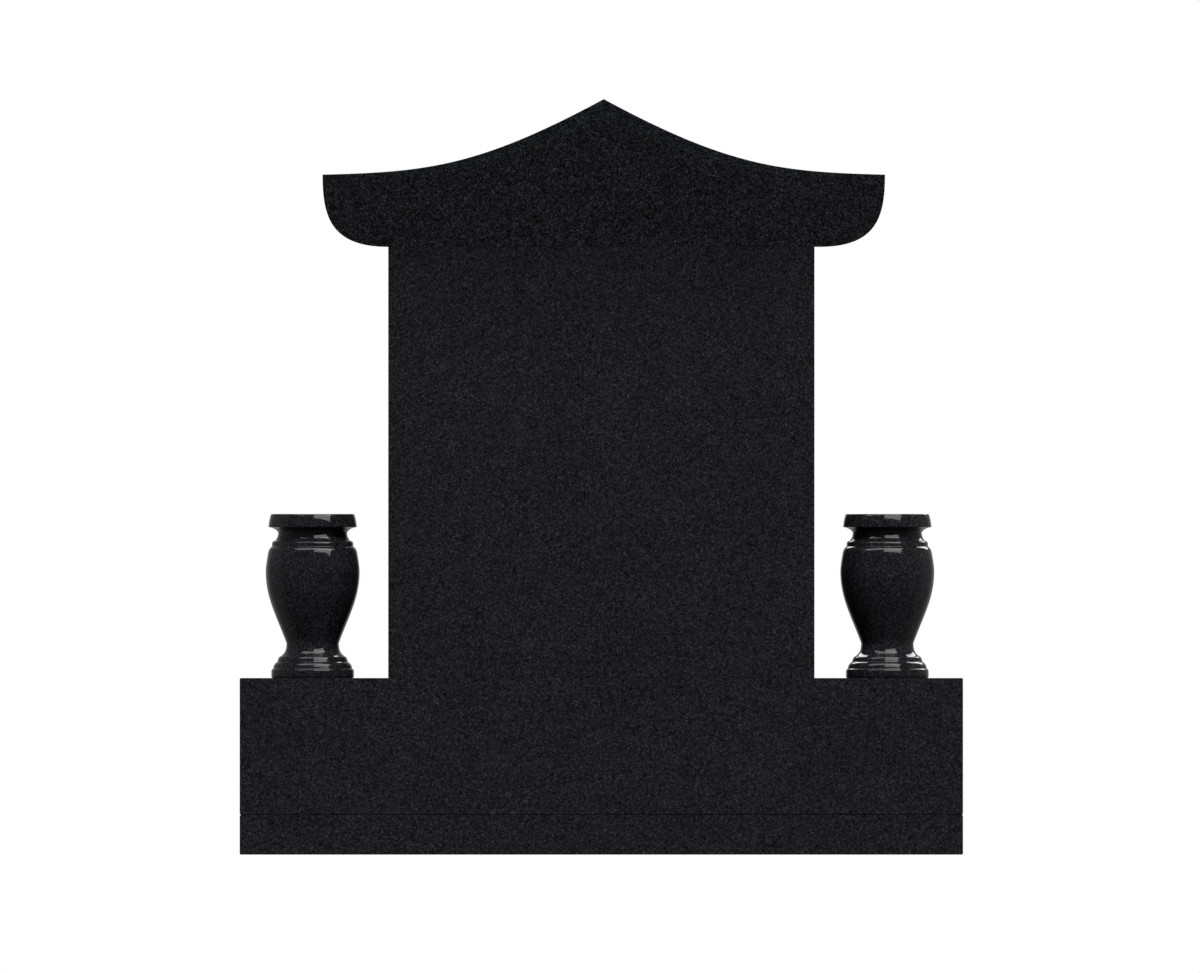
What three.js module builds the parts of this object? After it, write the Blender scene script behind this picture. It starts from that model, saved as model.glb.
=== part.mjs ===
import * as THREE from 'three';

// A headstone in polished black granite: a plinth and a base course, an upright tablet under
// a gabled cap, and a pair of turned flower vases that stand on the base course.
// Millimetres, +Z up. The origin is under the middle of the plinth, and the front faces -Y.

// eased edges: of the base and the vases, and finer on the tablet and the cap
const arris = 1.5;
const fineArris = 0.5;

// plinth and base course, of one width and depth
const baseWidth = 1120;
const baseDepth = 304;
const plinthHeight = 61.5;
const courseHeight = 212;

// tablet, in the middle of the base course
const tabletWidth = 660;
const tabletDepth = 152;
const tabletHeight = 667.5;

// gabled cap, with heights above its underside
const capWidth = 871;
const capDepth = tabletDepth; // flush with the tablet, front and back
const capOffset = 3.75; // it sits this far to the right of the tablet's middle
const ridgeHeight = 229;
const eaveHeight = 112;
const soffitWidth = 668; // flat underside between the two rounded eaves
const eaveFall = 62.5; // the rounded eave's handles: down from its corner
const eaveReach = 91; // and out from the flat underside
const ridgeReach = 195; // the slope's handles: out from the ridge
const ridgeFall = 105.3; // and down from it
const slopeReach = 160.7; // in from the eave
const slopeRise = 4.2; // and up from it
const ridgeBevel = 26; // the upper edge's bevel, widest here and an arris at the eaves
const slopeSteps = 22;

// turned vases, with radii from the axis and heights above the foot
const vaseLeftX = -447;
const vaseRightX = 442.75;
const vaseHeight = 254;
const vaseSides = 40;
const footRadius = 64;
const footHeight = 11;
const waistRadius = 40.5;
const waistHeight = 54;
const bellyRadius = 72.75;
const bellyHeight = 165;
const shoulderRadius = 69;
const shoulderHeight = 194;
const collarRadius = 63;
const collarBottom = 203.6;
const collarTop = 209;
const neckRadius = 53.3;
const neckHeight = 224;
const lipRadius = 68.6;
const lipHeight = 233.8;
const mouthRadius = 64;
const boreRadius = 38;
const boreDepth = 160;
const boreBevel = 2;

// heights at which the pieces stand on each other
const courseZ = plinthHeight;
const tabletZ = courseZ + courseHeight;
const capZ = tabletZ + tabletHeight;

const headstone = new THREE.Group();

function addStone(name, geometry, color, roughness, x, z) {
  const material = new THREE.MeshStandardMaterial({ color, roughness, metalness: 0 });
  const stone = new THREE.Mesh(geometry, material);
  stone.name = name;
  stone.position.set(x, 0, z);
  headstone.add(stone);
}

// a block with every edge eased, standing on its underside
function sawnBlock(width, depth, height, ease) {
  const side = width / 2;
  const section = new THREE.Shape();
  section.moveTo(ease - side, 0);
  section.lineTo(side - ease, 0);
  section.lineTo(side, ease);
  section.lineTo(side, height - ease);
  section.lineTo(side - ease, height);
  section.lineTo(ease - side, height);
  section.lineTo(-side, height - ease);
  section.lineTo(-side, ease);
  const geometry = new THREE.ExtrudeGeometry(section, {
    depth: depth - 2 * ease,
    bevelThickness: ease,
    bevelSize: ease,
    bevelOffset: -ease,
    bevelSegments: 1,
  });
  geometry.translate(0, 0, ease - depth / 2);
  geometry.rotateX(Math.PI / 2);
  return geometry;
}

// the cap's outline, anticlockwise as seen from the front
function capOutline() {
  const eave = capWidth / 2;
  const soffit = soffitWidth / 2;
  const shoulder = ridgeHeight - ridgeFall;
  const outline = new THREE.Shape();
  outline.moveTo(-soffit, 0);
  outline.lineTo(soffit, 0);
  outline.bezierCurveTo(soffit + eaveReach, 0, eave, eaveHeight - eaveFall, eave, eaveHeight);
  outline.bezierCurveTo(eave - slopeReach, eaveHeight + slopeRise, ridgeReach, shoulder, 0, ridgeHeight);
  outline.bezierCurveTo(-ridgeReach, shoulder, slopeReach - eave, eaveHeight + slopeRise, -eave, eaveHeight);
  outline.bezierCurveTo(-eave, eaveHeight - eaveFall, -soffit - eaveReach, 0, -soffit, 0);
  const points = outline.getPoints(slopeSteps);
  points.pop(); // the last point repeats the first
  return points;
}

// how wide the bevel is at a point of the cap's outline
function bevelAt(point) {
  if (point.y < eaveHeight) return fineArris;
  const outward = Math.abs(point.x) / (capWidth / 2);
  return fineArris + (ridgeBevel - fineArris) * (1 - outward);
}

// a point of the outline moved in by the bevel's width
function insetPoint(points, i) {
  const here = points[i];
  const before = points[(i + points.length - 1) % points.length];
  const after = points[(i + 1) % points.length];
  const edgeIn = here.clone().sub(before).normalize();
  const edgeOut = after.clone().sub(here).normalize();
  const inward = new THREE.Vector2(-edgeIn.y - edgeOut.y, edgeIn.x + edgeOut.x);
  return here.clone().addScaledVector(inward, bevelAt(here) / (1 + edgeIn.dot(edgeOut)));
}

// rings of equal point count, from the front to the back, skinned and closed at both ends
function skinRings(rings) {
  const count = rings[0].length;
  const last = count * (rings.length - 1);
  const index = [];
  for (let start = 0; start < last; start += count) {
    for (let i = 0; i < count; i += 1) {
      const here = start + i;
      const next = start + ((i + 1) % count);
      index.push(here, here + count, next + count);
      index.push(here, next + count, next);
    }
  }
  const frontFace = rings[0].map((point) => new THREE.Vector2(point.x, point.z));
  for (const [a, b, c] of THREE.ShapeUtils.triangulateShape(frontFace, [])) {
    index.push(a, b, c);
    index.push(last + a, last + c, last + b);
  }
  const geometry = new THREE.BufferGeometry().setFromPoints(rings.flat());
  geometry.setIndex(index);
  return geometry;
}

// the cap: its outline through the whole depth, bevelled towards both faces
function gabledCap() {
  const outline = capOutline();
  const face = outline.map((point, i) => insetPoint(outline, i));
  const half = capDepth / 2;
  const frontFace = face.map((point) => new THREE.Vector3(point.x, -half, point.y));
  const frontEdge = outline.map((point) => new THREE.Vector3(point.x, bevelAt(point) - half, point.y));
  const mirror = (point) => new THREE.Vector3(point.x, -point.y, point.z);
  return skinRings([frontFace, frontEdge, frontEdge.map(mirror), frontFace.map(mirror)]);
}

// the vase's section, from the middle of the foot up the outside and down into the bore
function vaseSection() {
  const points = [new THREE.Vector2(0, 0)];
  const at = (radius, height) => new THREE.Vector2(radius, height);
  const addCurve = (steps, ...handles) => {
    const start = points[points.length - 1];
    const curve = handles.length === 2
      ? new THREE.QuadraticBezierCurve(start, ...handles)
      : new THREE.CubicBezierCurve(start, ...handles);
    points.push(...curve.getPoints(steps).slice(1));
  };
  // foot drum, a step and a small torus
  points.push(at(footRadius - arris, 0));
  points.push(at(footRadius, arris));
  points.push(at(footRadius, footHeight));
  addCurve(2, at(63.5, 13.8), at(61.2, 14.4));
  addCurve(3, at(60.6, 22.4), at(54.7, 24.9));
  addCurve(3, at(53.3, 32.4), at(50.4, 33.3));
  // hollow up to the waist, and the egg-shaped body
  addCurve(4, at(43, 38), at(waistRadius, 43), at(waistRadius, waistHeight));
  addCurve(8, at(55.8, 95.6), at(bellyRadius, 123.5), at(bellyRadius, bellyHeight));
  addCurve(3, at(bellyRadius, 173.6), at(shoulderRadius, shoulderHeight));
  addCurve(3, at(67.7, 201), at(collarRadius, collarBottom));
  // collar, hollow neck and flared rim
  points.push(at(collarRadius, collarTop - arris));
  addCurve(2, at(collarRadius, 212), at(58, 212.7));
  addCurve(3, at(54, 217.5), at(neckRadius, neckHeight));
  addCurve(4, at(neckRadius, 228), at(60.5, 232.8), at(lipRadius, lipHeight));
  addCurve(4, at(67.7, 240), at(66.8, 249), at(mouthRadius, vaseHeight));
  // flower bore
  points.push(at(boreRadius + boreBevel, vaseHeight));
  points.push(at(boreRadius, vaseHeight - boreBevel));
  points.push(at(boreRadius, vaseHeight - boreDepth));
  points.push(at(0, vaseHeight - boreDepth));
  return points;
}

function turnedVase() {
  const geometry = new THREE.LatheGeometry(vaseSection(), vaseSides);
  geometry.rotateX(Math.PI / 2);
  return geometry;
}

addStone('plinth', sawnBlock(baseWidth, baseDepth, plinthHeight, arris), 0x1d1d1f, 0.15, 0, 0);
addStone('base_course', sawnBlock(baseWidth, baseDepth, courseHeight, arris), 0x1e1e20, 0.15, 0, courseZ);
addStone('tablet', sawnBlock(tabletWidth, tabletDepth, tabletHeight, fineArris), 0x1d1d1f, 0.12, 0, tabletZ);
addStone('gabled_cap', gabledCap(), 0x19191b, 0.12, capOffset, capZ);
addStone('vase_left', turnedVase(), 0x141416, 0.08, vaseLeftX, tabletZ);
addStone('vase_right', turnedVase(), 0x141416, 0.08, vaseRightX, tabletZ);

export default headstone;
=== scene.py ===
import bpy
import bmesh
import math
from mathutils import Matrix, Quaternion, Vector


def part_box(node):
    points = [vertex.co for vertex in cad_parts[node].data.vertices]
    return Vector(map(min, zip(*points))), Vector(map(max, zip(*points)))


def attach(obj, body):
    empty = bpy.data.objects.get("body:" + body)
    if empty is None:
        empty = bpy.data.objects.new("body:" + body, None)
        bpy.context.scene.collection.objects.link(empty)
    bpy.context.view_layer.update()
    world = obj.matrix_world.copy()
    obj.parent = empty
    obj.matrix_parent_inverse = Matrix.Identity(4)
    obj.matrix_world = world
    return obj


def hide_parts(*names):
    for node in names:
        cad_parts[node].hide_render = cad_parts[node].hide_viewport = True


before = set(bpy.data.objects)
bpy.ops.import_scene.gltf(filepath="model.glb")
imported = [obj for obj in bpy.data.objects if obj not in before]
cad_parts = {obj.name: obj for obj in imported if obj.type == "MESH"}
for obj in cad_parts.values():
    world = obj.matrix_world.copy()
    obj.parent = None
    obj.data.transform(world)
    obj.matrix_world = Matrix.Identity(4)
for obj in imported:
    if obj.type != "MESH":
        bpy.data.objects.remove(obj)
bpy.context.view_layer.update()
mm = 0.001
hair = 0.01 * mm  # points nearer than this are the same point
print("frame loaded:", ", ".join(sorted(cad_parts)))


# Work on meshes: everything is deselected before a new piece, and its points and faces are
# then picked in code.

def deselectAll():
    bpy.ops.object.select_all(action="DESELECT")


def startEdit(kind="VERT"):
    bpy.ops.object.mode_set(mode="EDIT")
    bpy.ops.mesh.select_mode(type=kind)


def endEdit():
    bpy.ops.object.mode_set(mode="OBJECT")


def pickVerts(piece, wanted):
    mesh = bmesh.from_edit_mesh(piece.data)
    for vert in mesh.verts:
        vert.select = wanted(vert)
    mesh.select_flush_mode()
    bmesh.update_edit_mesh(piece.data)


def pickFaces(piece, wanted):
    mesh = bmesh.from_edit_mesh(piece.data)
    for face in mesh.faces:
        face.select = False
    for face in filter(wanted, mesh.faces):
        face.select = True
    mesh.select_flush_mode()
    bmesh.update_edit_mesh(piece.data)


def selectedVerts(piece):
    mesh = bmesh.from_edit_mesh(piece.data)
    return [(vert.index, vert.co.copy()) for vert in mesh.verts if vert.select]


def moveVerts(piece, steps):
    for index, step in steps:
        pickVerts(piece, lambda vert: vert.index == index)
        bpy.ops.transform.translate(value=step)


def placePiece(piece, place):
    deselectAll()
    piece.select_set(True)
    bpy.context.view_layer.objects.active = piece
    piece.location = place
    bpy.ops.object.transform_apply(location=True, rotation=True, scale=True)


def bezier(t, points):
    while len(points) > 1:
        points = [a.lerp(b, t) for a, b in zip(points, points[1:])]
    return points[0]


# Shader maths: a wire is an output socket, and an expression on wires adds its Math nodes.

def grey(tone, blue=1.0):
    return (tone, tone, tone * blue, 1.0)


class Wire:
    def __init__(self, graph, socket):
        self.graph = graph
        self.socket = socket

    def maths(self, operation, first, second):
        return self.graph.node("ShaderNodeMath", {"operation": operation}, {0: first, 1: second})

    def __add__(self, other):
        return self.maths("ADD", self, other)

    def __radd__(self, other):
        return self.maths("ADD", other, self)

    def __mul__(self, other):
        return self.maths("MULTIPLY", self, other)

    def __rmul__(self, other):
        return self.maths("MULTIPLY", other, self)

    def __rsub__(self, other):
        return self.maths("SUBTRACT", other, self)

    def over(self, limit):
        return self.maths("GREATER_THAN", self, limit)

    def between(self, low, high, kind="SMOOTHSTEP"):
        return self.graph.node("ShaderNodeMapRange", {"interpolation_type": kind},
                               {"Value": self, "From Min": low, "From Max": high})


class Graph:
    def __init__(self, owner):
        owner.use_nodes = True
        self.tree = owner.node_tree
        self.tree.nodes.clear()

    def node(self, kind, settings, inputs, output=0):
        made = self.tree.nodes.new(kind)
        for name, value in settings.items():
            if name == "stops":
                self.setStops(made.color_ramp, value)
            else:
                setattr(made, name, value)
        for name, value in inputs.items():
            self.feed(made.inputs[name], value)
        return Wire(self, made.outputs[output]) if made.outputs else None

    def feed(self, socket, value):
        if isinstance(value, Wire):
            self.tree.links.new(value.socket, socket)
        else:
            socket.default_value = value

    def setStops(self, ramp, stops):
        while len(ramp.elements) < len(stops):
            ramp.elements.new(1.0)
        for element, (place, tone) in zip(ramp.elements, stops):
            element.position = place
            element.color = grey(tone)

    def mixColours(self, factor, first, second, blend="MIX"):
        return self.node("ShaderNodeMix", {"data_type": "RGBA", "blend_type": blend},
                         {0: factor, 6: first, 7: second}, 2)


# Polished black granite: dark interlocking grains a few millimetres across, a finer grain between them,
# a few pale flecks, a slow drift in tone across the slab, and, where asked, painted shade that darkens
# the stone towards a height.

def makeGranite(name, look):
    material = bpy.data.materials.new(name)
    graph = Graph(material)
    place = graph.node("ShaderNodeTexCoord", {}, {}, "Object")
    turned = graph.node("ShaderNodeMapping", {}, {"Vector": place, "Location": look["shift"],
                                                  "Rotation": look["turn"]})

    def cells(size, channel):
        cell = graph.node("ShaderNodeTexVoronoi", {"feature": "F1"},
                          {"Vector": turned, "Scale": 1 / size, "Randomness": 1.0}, "Color")
        return graph.node("ShaderNodeSeparateColor", {}, {"Color": cell}, channel)

    grain = cells(look["grain"], "Red")
    fine = cells(look["fine"], "Green")
    fleck = cells(look["fleck"], "Blue")
    drift = graph.node("ShaderNodeTexNoise", {}, {"Vector": turned, "Scale": 1 / look["drift"],
                                                  "Detail": look["driftDetail"]}, "Fac")
    body = grain * look["grainShare"] + fine * (1 - look["grainShare"])
    tone = graph.node("ShaderNodeValToRGB", {"stops": look["stops"]}, {"Fac": body}, "Color")
    pale = graph.mixColours(fleck.over(1 - look["fleckShare"]), tone, grey(look["fleckTone"]))
    tinted = graph.mixColours(1.0, pale, grey(look["base"], look["blue"]), "MULTIPLY")
    level = 1 - look["driftDepth"] / 2 + look["driftDepth"] * drift
    # painted shade: the stone's colour darkens towards a given height, standing in for shade that falls
    # there
    if look["duskDepth"]:
        height = graph.node("ShaderNodeSeparateXYZ", {}, {"Vector": place}, "Z")
        near = height.between(look["duskTop"] - look["duskReach"], look["duskTop"], "LINEAR")
        level = level * (1 - look["duskDepth"] * near * near)
    shade = graph.node("ShaderNodeVectorMath", {"operation": "SCALE"}, {0: tinted, "Scale": level})
    polish = look["roughness"] + look["roughDrift"] * fine
    relief = graph.node("ShaderNodeBump", {}, {"Strength": look["bump"], "Distance": look["bumpDepth"],
                                               "Height": body}, "Normal")
    shader = graph.node("ShaderNodeBsdfPrincipled", {},
                        {"Base Color": shade, "Roughness": polish, "Normal": relief, "IOR": look["ior"]})
    graph.node("ShaderNodeOutputMaterial", {}, {"Surface": shader})
    return material


graniteLook = {
    "grain": 2.4 * mm, "fine": 1.5 * mm, "fleck": 2.0 * mm,
    "grainShare": 0.62, "fleckShare": 0.05, "fleckTone": 2.8,  # tones are times the base tone
    "stops": [(0.0, 0.0), (0.25, 0.44), (0.5, 0.92), (0.75, 1.38), (1.0, 2.5)],
    "base": 0.0155, "blue": 1.13,
    "drift": 90 * mm, "driftDepth": 0.3, "driftDetail": 3.0,
    # painted shade: the next three set how much the stone darkens towards a height, and from how far
    # below
    "duskDepth": 0.0, "duskTop": 0.0, "duskReach": 1.0,  # how far the stone darkens towards a height
    "roughness": 0.12, "roughDrift": 0.04, "ior": 1.52,
    "bump": 0.01, "bumpDepth": 0.1 * mm,
    "shift": (0.0, 0.0, 0.0), "turn": (0.0, 0.0, 0.0),
}

slabLooks = {
    "plinth": graniteLook | {"shift": (0.31, 0.07, 0.11), "turn": (0.2, 0.1, 0.4)},
    "base_course": graniteLook | {"shift": (0.83, 0.41, 0.27), "turn": (0.5, 0.3, 0.1)},
    # painted shade on the tablet: its colour darkens towards its top, for the shade under the cap
    "tablet": graniteLook | {"shift": (0.19, 0.63, 0.57), "turn": (0.1, 0.6, 0.3), "duskDepth": 0.24,
                             "duskTop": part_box("tablet")[1].z, "duskReach": 220 * mm},
}
capLook = graniteLook | {"base": 0.0105, "fleckTone": 3.6, "turn": (0.7, 0.2, 0.5),
                         "stops": [(0.0, 0.0), (0.25, 0.2), (0.5, 0.85), (0.75, 1.5), (1.0, 3.0)]}
vaseLook = graniteLook | {"base": 0.0149, "roughness": 0.05, "roughDrift": 0.02, "turn": (0.3, 0.4, 0.9)}
boreLook = vaseLook | {"base": 0.02, "roughness": 0.45}

for name, look in slabLooks.items():
    slabGranite = makeGranite(name + "Granite", look)
    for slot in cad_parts[name].material_slots:
        slot.material = slabGranite
capGranite = makeGranite("capGranite", capLook)
vaseGranite = makeGranite("vaseGranite", vaseLook)
boreGranite = makeGranite("boreGranite", boreLook)
print("granite on the plinth, the base course and the tablet")


# The gabled cap. One quarter is modelled from the middle plane forwards: a strip of
# columns is drawn to the outline, pulled out to the bevel, and drawn in to the face.

capLow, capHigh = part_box("gabled_cap")
capStone = {
    "halfWidth": (capHigh.x - capLow.x) / 2, "depth": capHigh.y - capLow.y,
    "ridge": 229 * mm, "eave": 112 * mm, "soffit": 334 * mm,
    "eaveFall": 62.5 * mm, "eaveReach": 91 * mm,
    "ridgeReach": 195 * mm, "ridgeFall": 105.3 * mm,
    "slopeReach": 160.7 * mm, "slopeRise": 4.2 * mm,
    "ridgeBevel": 26 * mm, "arris": 0.5 * mm,
    "corner": 1 * mm,  # this near the eave's corner, the bevel is only an arris
    "slopeColumns": 40, "eaveColumns": 20, "halvings": 40, "smoothAngle": 28,
}


def slopeHeight(cap, x):
    # the curve can't be solved for x, so the stretch that holds it is halved again and again
    handles = [Vector((0, cap["ridge"])), Vector((cap["ridgeReach"], cap["ridge"] - cap["ridgeFall"])),
               Vector((cap["halfWidth"] - cap["slopeReach"], cap["eave"] + cap["slopeRise"])),
               Vector((cap["halfWidth"], cap["eave"]))]
    low, high = 0.0, 1.0
    for halving in range(cap["halvings"]):
        t = (low + high) / 2
        if bezier(t, handles).x < x:
            low = t
        else:
            high = t
    return bezier(low, handles).y


def eavePoint(cap, t):
    return bezier(t, [Vector((cap["soffit"], 0)), Vector((cap["soffit"] + cap["eaveReach"], 0)),
                      Vector((cap["halfWidth"], cap["eave"] - cap["eaveFall"])),
                      Vector((cap["halfWidth"], cap["eave"]))])


def capColumns(cap):
    # each column's place across, its foot and its top
    columns = []
    for i in range(cap["slopeColumns"]):
        x = cap["soffit"] * i / cap["slopeColumns"]
        if x == 0 or x > cap["ridgeBevel"] / 2:  # nearer the ridge, the two slopes' bevels meet
            columns.append((x, 0.0, slopeHeight(cap, x)))
    for i in range(cap["eaveColumns"] + 1):
        point = eavePoint(cap, i / cap["eaveColumns"])
        columns.append((point.x, point.y, slopeHeight(cap, point.x)))
    return columns


def bevelWidth(cap, point):
    if point.y < cap["eave"] - cap["corner"] or point.x > cap["halfWidth"] - cap["corner"]:
        return cap["arris"]
    return cap["arris"] + (cap["ridgeBevel"] - cap["arris"]) * (1 - point.x / cap["halfWidth"])


def bevelSteps(cap, columns):
    # each point of the outline, with its step in to the face and its bevel's width
    rise = [Vector((x, low)) for x, low, high in columns]
    fall = [Vector((x, high)) for x, low, high in reversed(columns[:-1])]
    acrossFoot = Vector((-rise[1].x, rise[1].y))  # the points' neighbours over the middle
    acrossRidge = Vector((-fall[-2].x, fall[-2].y))
    outline = [acrossFoot] + rise + fall + [acrossRidge]
    steps = []
    for before, here, after in zip(outline, outline[1:], outline[2:]):
        edgeIn = (here - before).normalized()
        edgeOut = (after - here).normalized()
        inward = Vector((-edgeIn.y - edgeOut.y, edgeIn.x + edgeOut.x)) / (1 + edgeIn.dot(edgeOut))
        width = bevelWidth(cap, here)
        steps.append((here, inward * width, width))
    return steps


def stepAt(steps, co):
    here = Vector((co.x, co.z))
    nearest = min(steps, key=lambda step: (step[0] - here).length)
    return nearest[1:]


def drawOutline(piece, columns):
    # the strip is new and a metre wide, so a point's place along it gives its column
    bpy.ops.mesh.select_all(action="SELECT")
    steps = []
    for index, co in selectedVerts(piece):
        x, low, high = columns[round((co.x + 0.5) * (len(columns) - 1))]
        steps.append((index, Vector((x, 0, low if co.z < 0 else high)) - co))
    moveVerts(piece, steps)
    bpy.ops.mesh.select_all(action="SELECT")
    bpy.ops.mesh.remove_doubles(threshold=hair)


def pullOutFace(piece, cap, bevel):
    # out to the bevel's outer edge, then on to the flat face
    bpy.ops.mesh.select_all(action="SELECT")
    bpy.ops.mesh.extrude_region_move(TRANSFORM_OT_translate={"value": (0, -cap["depth"] / 2, 0)})
    steps = []
    for index, co in selectedVerts(piece):
        inward, width = stepAt(bevel, co)
        steps.append((index, Vector((0, width, 0))))
    ring = {index for index, step in steps}
    moveVerts(piece, steps)
    pickFaces(piece, lambda face: all(vert.index in ring for vert in face.verts))
    bpy.ops.mesh.extrude_region_move(TRANSFORM_OT_translate={"value": (0, 0, 0)})
    steps = []
    for index, co in selectedVerts(piece):
        inward, width = stepAt(bevel, co)
        steps.append((index, Vector((inward.x, -width, inward.y))))
    moveVerts(piece, steps)


def onMiddlePlane(face):
    return (all(abs(vert.co.y) < hair for vert in face.verts)
            or all(abs(vert.co.x) < hair for vert in face.verts))


def mirrorQuarter(piece):
    # opened at both middle planes, and mirrored into the whole stone
    pickFaces(piece, onMiddlePlane)
    bpy.ops.mesh.delete(type="ONLY_FACE")
    endEdit()
    mirror = piece.modifiers.new("Mirror", "MIRROR")
    mirror.use_axis = (True, True, False)
    mirror.merge_threshold = hair
    bpy.ops.object.modifier_apply(modifier=mirror.name)
    startEdit()
    bpy.ops.mesh.select_all(action="SELECT")
    bpy.ops.mesh.delete_loose()
    bpy.ops.mesh.select_all(action="SELECT")
    bpy.ops.mesh.normals_make_consistent(inside=False)
    endEdit()


def buildCap(name, cap, place):
    columns = capColumns(cap)
    deselectAll()
    bpy.ops.mesh.primitive_grid_add(x_subdivisions=len(columns) - 1, y_subdivisions=1, size=1,
                                    rotation=(math.pi / 2, 0, 0))
    piece = bpy.context.object
    piece.name = piece.data.name = name
    bpy.ops.object.transform_apply(location=True, rotation=True, scale=True)
    startEdit()
    drawOutline(piece, columns)
    pullOutFace(piece, cap, bevelSteps(cap, columns))
    mirrorQuarter(piece)
    bpy.ops.object.shade_smooth_by_angle(angle=math.radians(cap["smoothAngle"]))
    placePiece(piece, place)
    piece.data.materials.append(capGranite)
    return piece


gabledCap = buildCap("gabledCap", capStone, ((capLow.x + capHigh.x) / 2, 0, capLow.z))
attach(gabledCap, "root")
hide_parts("gabled_cap")
print("cap:", len(gabledCap.data.polygons), "faces")


# A turned vase. The foot's disc is pulled up and resized from height to height along the
# section, over the rim and down the flower bore, as on a lathe.

vaseStone = {
    "sides": 128, "height": 254 * mm,
    "footRadius": 64 * mm, "footHeight": 11 * mm,
    "waistRadius": 40.5 * mm, "waistHeight": 54 * mm,
    "bellyRadius": 72.75 * mm, "bellyHeight": 165 * mm,
    "shoulderRadius": 69 * mm, "shoulderHeight": 194 * mm,
    "collarRadius": 63 * mm, "collarBottom": 203.6 * mm, "collarTop": 209 * mm,
    "neckRadius": 53.3 * mm, "neckHeight": 224 * mm,
    "lipRadius": 68.6 * mm, "lipHeight": 233.8 * mm,
    "mouthRadius": 64 * mm, "boreRadius": 38 * mm, "boreDepth": 160 * mm,
    "arris": 1.5 * mm, "boreBevel": 2 * mm,
    "easing": 0.5 * mm, "easeSteps": 2, "easedAngle": 35, "smoothAngle": 30,
}


def vaseSection(vase):
    points = [Vector((vase["footRadius"] - vase["arris"], 0.0))]

    def lineTo(radius, height):
        points.append(Vector((radius, height)))

    def curveTo(steps, *handles):
        run = [points[-1]] + [Vector(handle) for handle in handles]
        points.extend(bezier(i / steps, run) for i in range(1, steps + 1))

    foot, waist, belly = vase["footRadius"], vase["waistRadius"], vase["bellyRadius"]
    collar, neck, lip = vase["collarRadius"], vase["neckRadius"], vase["lipRadius"]
    # foot drum, a step and a small torus
    lineTo(foot, vase["arris"])
    lineTo(foot, vase["footHeight"])
    curveTo(5, (63.5 * mm, 13.8 * mm), (61.2 * mm, 14.4 * mm))
    curveTo(7, (60.6 * mm, 22.4 * mm), (54.7 * mm, 24.9 * mm))
    curveTo(7, (53.3 * mm, 32.4 * mm), (50.4 * mm, 33.3 * mm))
    # hollow up to the waist, and the egg-shaped body
    curveTo(9, (43 * mm, 38 * mm), (waist, 43 * mm), (waist, vase["waistHeight"]))
    curveTo(20, (55.8 * mm, 95.6 * mm), (belly, 123.5 * mm), (belly, vase["bellyHeight"]))
    curveTo(8, (belly, 173.6 * mm), (vase["shoulderRadius"], vase["shoulderHeight"]))
    curveTo(9, (67.7 * mm, 201 * mm), (collar, vase["collarBottom"]))
    # collar, hollow neck and flared rim
    lineTo(collar, vase["collarTop"] - vase["arris"])
    curveTo(5, (collar, 212 * mm), (58 * mm, 212.7 * mm))
    curveTo(7, (54 * mm, 217.5 * mm), (neck, vase["neckHeight"]))
    curveTo(10, (neck, 228 * mm), (60.5 * mm, 232.8 * mm), (lip, vase["lipHeight"]))
    curveTo(8, (67.7 * mm, 240 * mm), (66.8 * mm, 249 * mm), (vase["mouthRadius"], vase["height"]))
    # flower bore
    lineTo(vase["boreRadius"] + vase["boreBevel"], vase["height"])
    lineTo(vase["boreRadius"], vase["height"] - vase["boreBevel"])
    lineTo(vase["boreRadius"], vase["height"] - vase["boreDepth"])
    return points


def turnSection(section, sides):
    bpy.ops.mesh.primitive_circle_add(vertices=sides, radius=section[0].x, fill_type="NGON",
                                      location=(0, 0, section[0].y))
    bpy.ops.object.transform_apply(location=True, rotation=True, scale=True)
    startEdit("FACE")
    bpy.ops.mesh.select_all(action="SELECT")
    for before, here in zip(section, section[1:]):
        bpy.ops.mesh.extrude_region_move(TRANSFORM_OT_translate={"value": (0, 0, here.y - before.y)})
        share = here.x / before.x
        bpy.ops.transform.resize(value=(share, share, 1), center_override=(0, 0, here.y))
    bpy.ops.mesh.select_all(action="SELECT")
    bpy.ops.mesh.normals_make_consistent(inside=False)
    endEdit()


def easeEdges(piece, vase):
    ease = piece.modifiers.new("Ease", "BEVEL")
    ease.width = vase["easing"]
    ease.segments = vase["easeSteps"]
    ease.limit_method = "ANGLE"
    ease.angle_limit = math.radians(vase["easedAngle"])
    bpy.ops.object.modifier_apply(modifier=ease.name)


def finishVase(piece, vase):
    # polished outside, and less so down the bore
    piece.data.materials.append(vaseGranite)
    piece.data.materials.append(boreGranite)
    boreWall = vase["boreRadius"] + vase["boreBevel"] / 2
    for face in piece.data.polygons:
        if face.center.to_2d().length < boreWall and face.center.z > vase["footHeight"]:
            face.material_index = 1  # the bore's granite
    bpy.ops.object.shade_smooth_by_angle(angle=math.radians(vase["smoothAngle"]))


def buildVase(name, vase):
    deselectAll()
    turnSection(vaseSection(vase), vase["sides"])
    piece = bpy.context.object
    piece.name = piece.data.name = name
    easeEdges(piece, vase)
    finishVase(piece, vase)
    return piece


def copyPiece(piece, name):
    deselectAll()
    piece.select_set(True)
    bpy.context.view_layer.objects.active = piece
    bpy.ops.object.duplicate(linked=False)
    copy = bpy.context.object
    copy.name = copy.data.name = name
    return copy


def standVase(piece, node):
    low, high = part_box(node)
    placePiece(piece, ((low.x + high.x) / 2, (low.y + high.y) / 2, low.z))
    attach(piece, "root")
    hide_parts(node)


leftVase = buildVase("vaseLeft", vaseStone)
rightVase = copyPiece(leftVase, "vaseRight")
standVase(leftVase, "vase_left")
standVase(rightVase, "vase_right")
print("vases:", len(leftVase.data.polygons), "faces each")


# Camera: level, square to the front and without perspective, as in the photograph. The base's
# middle and foot are in the photograph's pixels, from its top left corner.

photoView = {
    "wide": 1200, "high": 973, "baseMiddle": 601.35, "baseFoot": 854.66,
    "pixel": 1.5484 * mm, "distance": 4.0, "nearest": 0.05, "farthest": 60,
}


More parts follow.
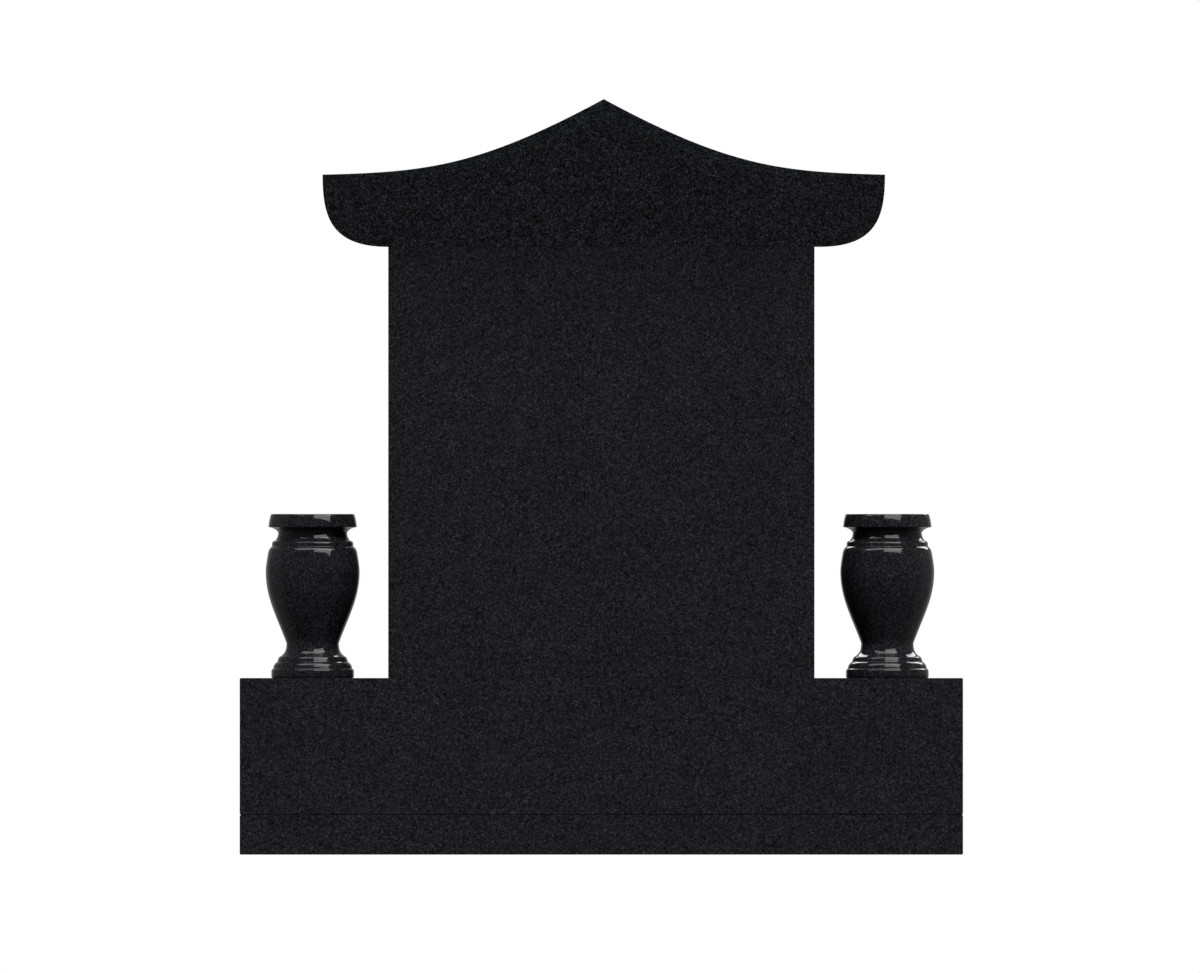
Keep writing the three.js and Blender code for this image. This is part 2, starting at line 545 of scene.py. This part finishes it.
def addCamera(view):
    lens = bpy.data.cameras.new("photoCamera")
    lens.type = "ORTHO"
    lens.ortho_scale = view["wide"] * view["pixel"]
    lens.clip_start = view["nearest"]
    lens.clip_end = view["farthest"]
    camera = bpy.data.objects.new("photoCamera", lens)
    bpy.context.scene.collection.objects.link(camera)
    camera.location = ((view["wide"] / 2 - view["baseMiddle"]) * view["pixel"], -view["distance"],
                       (view["baseFoot"] - view["high"] / 2) * view["pixel"])
    camera.rotation_euler = (math.pi / 2, 0, 0)
    bpy.context.scene.camera = camera


addCamera(photoView)
bpy.context.scene.view_settings.view_transform = "Standard"


# Floor and light: a pale floor that runs out into a white backdrop, soft boxes and broad far
# lights, and dim surroundings for the polish to mirror.

floorLook = {"size": 30, "tone": 0.8, "palerTone": 0.816, "mottle": 3.0, "roughness": 0.9, "gloss": 0.1}


def layFloor(look):
    deselectAll()
    bpy.ops.mesh.primitive_plane_add(size=look["size"])
    plane = bpy.context.object
    plane.name = plane.data.name = "paleFloor"
    paint = bpy.data.materials.new("floorPaint")
    graph = Graph(paint)
    mottle = graph.node("ShaderNodeTexNoise", {}, {"Scale": look["mottle"]}, "Fac")
    tone = graph.mixColours(mottle, grey(look["tone"]), grey(look["palerTone"]))
    shader = graph.node("ShaderNodeBsdfPrincipled", {},
                        {"Base Color": tone, "Roughness": look["roughness"],
                         "Specular IOR Level": look["gloss"]})
    graph.node("ShaderNodeOutputMaterial", {}, {"Surface": shader})
    plane.data.materials.append(paint)
    plane.visible_glossy = False
    plane.visible_diffuse = False
    return plane


floor = layFloor(floorLook)


# A box is mirrored in the polish, or it gives soft light that the polish doesn't show. Some
# light only the pieces that they name, or all except those.
vases = [leftVase, rightVase]
frontBox = {"place": (1.16, -2.7, 3.52), "target": (-1.07, 0, 2.3), "roll": -21, "size": (3.17, 3.0),
            "mirrored": True}
softboxes = {
    # in front of the vases and over them, for the streaks in their polish
    "keyBox": frontBox | {"glow": 2.8, "only": vases},
    "overheadBox": {"place": (-0.12, -0.88, 2.4), "target": (-0.12, -0.6, 0.5), "size": (3.4, 1.15),
                    "glow": 2.4, "mirrored": True, "only": vases},
    # behind, for the glints at the ends of their rings
    "backBoxLeft": {"place": (-0.82, 2.6, 2.5), "target": (0.44, 0, 0.3), "size": (0.94, 2.0),
                    "glow": 4.5, "mirrored": True, "only": [rightVase]},
    "backBoxRight": {"place": (1.95, 2.6, 2.5), "target": (0.44, 0, 0.3), "size": (1.25, 2.0),
                     "glow": 4.5, "mirrored": True, "only": [rightVase]},
    "backBoxMiddle": {"place": (0.68, 2.6, 2.6), "target": (-0.44, 0, 0.3), "size": (0.35, 0.5),
                      "glow": 4.5, "mirrored": True, "only": [leftVase]},
    # a dim one for the slabs and the cap
    "sheenBox": frontBox | {"glow": 0.4, "except": vases},
    # soft light from above and from both sides
    "skyFill": {"place": (0, 0, 4.2), "target": (0, 0, 0), "size": (5.0, 5.0), "glow": 0.1},
    "leftFill": {"place": (-2.4, -0.5, 0.7), "target": (-0.4, 0, 0.5), "size": (1.6, 1.2), "glow": 1.8,
                 "except": [floor]},
    "rightFill": {"place": (2.4, -0.5, 0.7), "target": (0.4, 0, 0.5), "size": (1.6, 1.2), "glow": 1.8,
                  "except": [floor]},
}
# broad light from far off; turn runs from straight in front towards +X
suns = {
    "frontSun": {"turn": 10, "elevation": 40, "spread": 30, "strength": 2.55, "except": vases},
    "vaseSun": {"turn": 10, "elevation": 52, "spread": 30, "strength": 2.95, "only": vases},
    "lowSun": {"turn": 0, "elevation": 5, "spread": 60, "strength": 0.2},
    "backSun": {"turn": 170, "elevation": 40, "spread": 30, "strength": 2.55},
}
sunDistance = 6


def limitLight(stand, pieces, state):
    group = bpy.data.collections.new(stand.name + "Pieces")
    stand.light_linking.receiver_collection = group
    for piece in pieces:
        group.objects.link(piece)
    for entry in group.collection_objects:
        entry.light_linking.link_state = state


def hangLamp(name, lamp, look, place, aim):
    stand = bpy.data.objects.new(name, lamp)
    bpy.context.scene.collection.objects.link(stand)
    stand.location = place
    stand.rotation_euler = aim.to_euler()
    stand.visible_camera = False
    stand.visible_glossy = look.get("mirrored", False)
    stand.visible_diffuse = not look.get("mirrored", False)
    if "only" in look:
        limitLight(stand, look["only"], "INCLUDE")
    if "except" in look:
        limitLight(stand, look["except"], "EXCLUDE")


def addSoftbox(name, box):
    lamp = bpy.data.lights.new(name, "AREA")
    lamp.shape = "RECTANGLE"
    lamp.size, lamp.size_y = box["size"]
    lamp.energy = box["glow"] * math.pi * lamp.size * lamp.size_y
    aim = (Vector(box["target"]) - Vector(box["place"])).to_track_quat("-Z", "Y")
    roll = Quaternion((0, 0, 1), math.radians(box.get("roll", 0)))
    hangLamp(name, lamp, box, box["place"], aim @ roll)


def addSun(name, sun):
    lamp = bpy.data.lights.new(name, "SUN")
    lamp.angle = math.radians(sun["spread"])
    lamp.energy = sun["strength"]
    turn, elevation = math.radians(sun["turn"]), math.radians(sun["elevation"])
    towards = Vector((math.sin(turn) * math.cos(elevation), -math.cos(turn) * math.cos(elevation),
                      math.sin(elevation)))
    hangLamp(name, lamp, sun, towards * sunDistance, (-towards).to_track_quat("-Z", "Y"))


for name, box in softboxes.items():
    addSoftbox(name, box)
for name, sun in suns.items():
    addSun(name, sun)


# White behind the object for the camera. What the polish sees is dark in front, paler below
# and towards the sides, warm behind and nearly black overhead. A band gives where a colour
# starts and where it is full, as a share of the way down, back or up.
studio = {
    "front": (0.025, 0.025, 0.026, 1),
    "below": (0.06, 0.052, 0.054, 1), "belowBand": (-0.6, -0.9),
    "sides": (0.14, 0.13, 0.13, 1), "sidesBand": (-0.4, 0.35),
    "behind": (0.36, 0.31, 0.3, 1), "behindBand": (0.6, 1.0),
    "above": (0.003, 0.013, 0.022, 1), "aboveBand": (0.35, 0.9),
    "backdrop": (1, 1, 1, 1),
}


def lightWorld(room):
    world = bpy.data.worlds.new("studio")
    bpy.context.scene.world = world
    graph = Graph(world)
    aim = graph.node("ShaderNodeTexCoord", {}, {}, "Generated")
    depth = graph.node("ShaderNodeSeparateXYZ", {}, {"Vector": aim}, "Y")
    height = graph.node("ShaderNodeSeparateXYZ", {}, {"Vector": aim}, "Z")
    colour = graph.mixColours(height.between(*room["belowBand"]), room["front"], room["below"])
    colour = graph.mixColours(depth.between(*room["sidesBand"]), colour, room["sides"])
    colour = graph.mixColours(depth.between(*room["behindBand"]), colour, room["behind"])
    colour = graph.mixColours(height.between(*room["aboveBand"]), colour, room["above"])
    seen = graph.node("ShaderNodeLightPath", {}, {}, "Is Camera Ray")
    colour = graph.mixColours(seen, colour, room["backdrop"])
    light = graph.node("ShaderNodeBackground", {}, {"Color": colour, "Strength": 1.0})
    graph.node("ShaderNodeOutputWorld", {}, {"Surface": light})


lightWorld(studio)
print("camera, floor and lights")
